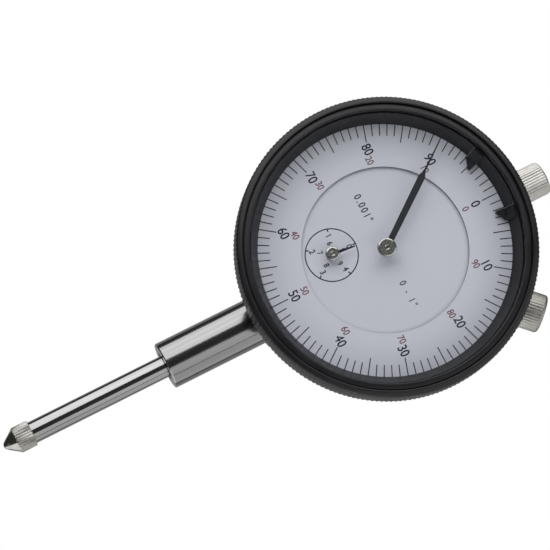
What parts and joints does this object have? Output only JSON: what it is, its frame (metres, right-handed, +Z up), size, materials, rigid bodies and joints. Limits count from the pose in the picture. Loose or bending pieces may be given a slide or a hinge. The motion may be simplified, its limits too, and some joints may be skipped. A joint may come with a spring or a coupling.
{
  "type": "dial indicator",
  "caption": "Round plunger dial indicator with a turning bezel, revolution counter, limit hands, clamping stem, lug back and sliding spindle driven through a rack and gear train.",
  "frame": {"origin": "on the spindle axis, half way along the stem's bare length", "axes": "+Z up the spindle away from the contact point, the dial faces -Y, +X to the right of the dial"},
  "size_m": [0.0594, 0.0375, 0.1204],
  "materials": {
    "case_satin": "satin chrome plate",
    "black_enamel": "satin black",
    "stem_steel": "ground and polished",
    "spindle_steel": "ground and polished",
    "point_steel": "knurled, nickel plated",
    "ball_steel": "polished",
    "knob_nickel": "knurled, nickel plated",
    "plate_brass": "satin",
    "bush_bronze": "turned",
    "gear_brass": "turned",
    "screw_steel": "turned",
    "spring_steel": "drawn wire",
    "blue_steel": "blued strip",
    "dial_white": "matt white print base",
    "hand_black": "matt black",
    "hub_nickel": "turned",
    "limit_black": "satin black",
    "crystal_clear": "clear, polished acrylic",
    "pad_black": "satin black"
  },
  "bodies": {
    "case": {"case": "case_satin", "back_cover": "case_satin", "back_screws": "screw_steel", "stem": "stem_steel", "lower_bushing": "bush_bronze", "upper_bushing": "knob_nickel", "front_plate": "plate_brass", "movement_screws": "screw_steel", "rear_plate": "plate_brass", "bridge_pillars": "plate_brass", "bridge_screws": "screw_steel", "front_bushes": "bush_bronze", "rear_bushes": "bush_bronze", "rear_cock": "plate_brass", "cock_pillars": "plate_brass", "cock_screws": "screw_steel", "spindle_guide": "screw_steel", "guide_screws": "screw_steel", "return_spring": "spring_steel", "spring_post": "spindle_steel", "hairspring": "blue_steel", "hairspring_stud": "plate_brass", "fixed_dial": "dial_white", "dial_spacer": "plate_brass", "snap_ring": "screw_steel"},
    "bezel": {"bezel_ring": "black_enamel", "crystal": "crystal_clear", "dial_ring": "dial_white"},
    "limit_left": {"limit_hand_left": "limit_black"},
    "limit_right": {"limit_hand_right": "limit_black"},
    "spindle": {"spindle": "spindle_steel", "contact_point": "point_steel", "contact_ball": "ball_steel", "lifting_knob": "knob_nickel", "guide_pin": "spindle_steel"},
    "rack_train": {"rack_arbor": "spindle_steel", "rack_gear": "gear_brass", "small_hub": "hub_nickel", "small_hand": "hand_black"},
    "centre_train": {"centre_arbor": "spindle_steel", "main_hand": "hand_black", "main_hub": "hub_nickel"},
    "take_up_train": {"take_up_arbor": "spindle_steel", "take_up_gear": "gear_brass", "hairspring_collet": "bush_bronze"},
    "clamp_pad": {"clamp_pad": "pad_black"},
    "clamp_screw": {"clamp_screw": "knob_nickel"}
  },
  "joints": [
    {"name": "spindle_slide", "type": "slide", "parent": "case", "child": "spindle", "axis": [0, 0, 1], "range_m": [0, 0.0259], "stiffness_N_per_m": 30, "springref_m": -0.035, "deforming": ["return_spring"]},
    {"name": "rack_turn", "type": "hinge", "parent": "case", "child": "rack_train", "pos_m": [-0.0038, 0, 0.02765], "axis": [0, 1, 0], "range_deg": [-736, 6]},
    {"name": "centre_turn", "type": "hinge", "parent": "case", "child": "centre_train", "pos_m": [0, 0, 0.0375], "axis": [0, 1, 0], "range_deg": [-6, 3678]},
    {"name": "take_up_turn", "type": "hinge", "parent": "case", "child": "take_up_train", "pos_m": [0.0038, 0, 0.04735], "axis": [0, 1, 0], "range_deg": [-736, 6]},
    {"name": "bezel_turn", "type": "hinge", "parent": "case", "child": "bezel", "pos_m": [0, -0.0113, 0.0375], "axis": [0, 1, 0], "continuous": true},
    {"name": "limit_left_turn", "type": "hinge", "parent": "bezel", "child": "limit_left", "pos_m": [0, -0.0113, 0.0375], "axis": [0, 1, 0], "range_deg": [-150, 9]},
    {"name": "limit_right_turn", "type": "hinge", "parent": "bezel", "child": "limit_right", "pos_m": [0, -0.0113, 0.0375], "axis": [0, 1, 0], "range_deg": [-10, 150]},
    {"name": "clamp_turn", "type": "hinge", "parent": "clamp_pad", "child": "clamp_screw", "pos_m": [0.02192, 0.001, 0.05942], "axis": [0.7071, 0, 0.7071], "range_deg": [0, 220]},
    {"name": "clamp_slide", "type": "slide", "parent": "case", "child": "clamp_pad", "axis": [0.7071, 0, 0.7071], "range_m": [0, 0.0003]}
  ],
  "couplings": [
    {"joint": "rack_turn", "follows": "spindle_slide", "rad_per_m": -494.74},
    {"joint": "centre_turn", "follows": "spindle_slide", "rad_per_m": 2473.7},
    {"joint": "take_up_turn", "follows": "spindle_slide", "rad_per_m": -494.74},
    {"joint": "clamp_turn", "follows": "clamp_slide", "rad_per_m": 12566}
  ]
}
